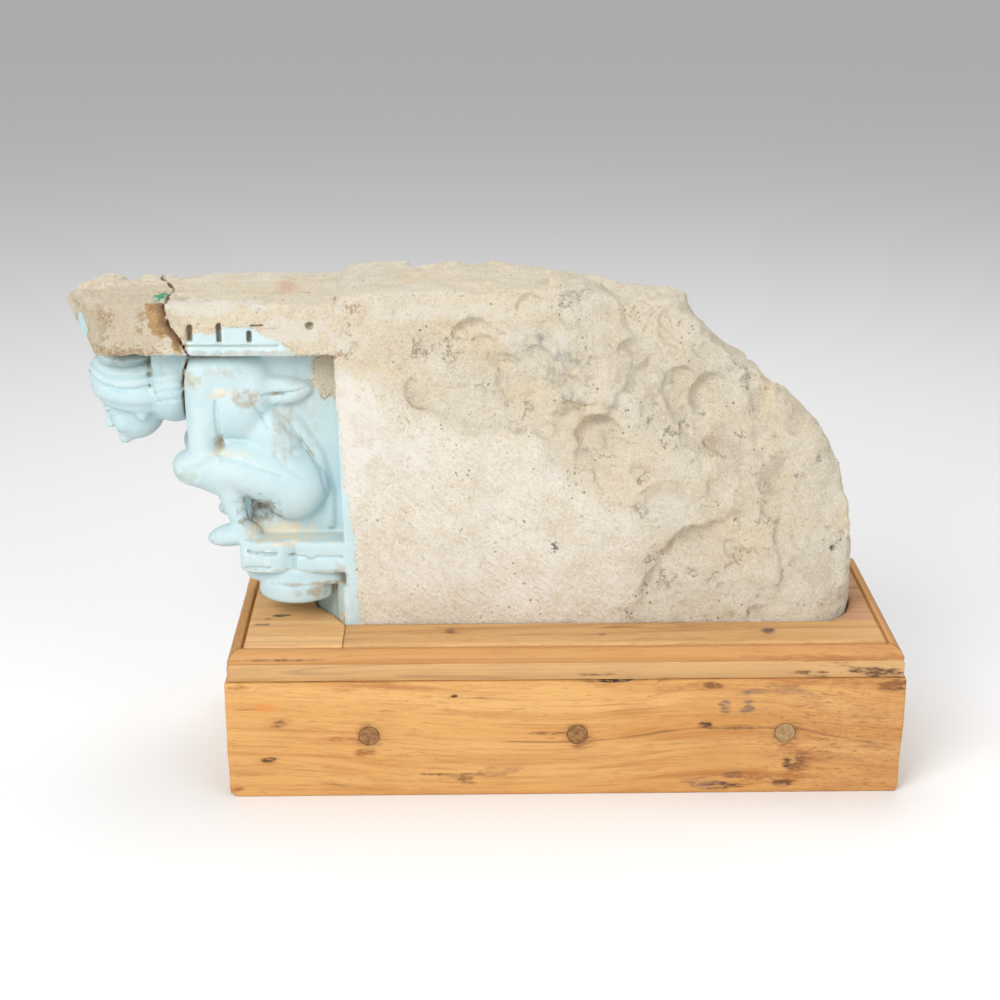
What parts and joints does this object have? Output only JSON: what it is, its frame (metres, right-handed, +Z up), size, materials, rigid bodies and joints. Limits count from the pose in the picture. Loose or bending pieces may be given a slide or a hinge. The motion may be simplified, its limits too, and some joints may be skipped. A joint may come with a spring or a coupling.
{
  "type": "stone corbel",
  "caption": "Carved stone corbel: a crouching bearer under a slab, painted at its carved end, rough at its tail, let into a wooden box base with a mitred moulded rim.",
  "frame": {"origin": "on the floor, under the middle of the whole object's box", "axes": "+Z up, +X along the length from the carved end to the rough tail, +Y from the front face to the back"},
  "size_m": [0.8676, 0.281, 0.5228],
  "materials": {
    "stone": "matte cream limestone, rough broken at the tail, with worn pale sky-blue paint on the carved end",
    "apron_wood": "honey-brown reclaimed hardwood with open grain, knots and stains, thin wax",
    "rim_wood": "honey-brown reclaimed hardwood, rounded moulding, thin wax",
    "top_wood": "honey-brown reclaimed hardwood boards, thin wax",
    "hidden_wood": "plain unfinished board",
    "plug_wood": "dark brown wooden plugs"
  },
  "bodies": {
    "root": {"corbel_stone": "stone", "apron_front": "apron_wood", "apron_back": "apron_wood", "apron_left": "apron_wood", "apron_right": "apron_wood", "rim_front": "rim_wood", "rim_back": "rim_wood", "rim_left": "rim_wood", "rim_right": "rim_wood", "top_left": "top_wood", "top_front": "top_wood", "top_back": "top_wood", "top_right": "top_wood", "bed_board": "hidden_wood", "plug_left": "plug_wood", "plug_middle": "plug_wood", "plug_right": "plug_wood"}
  },
  "joints": []
}
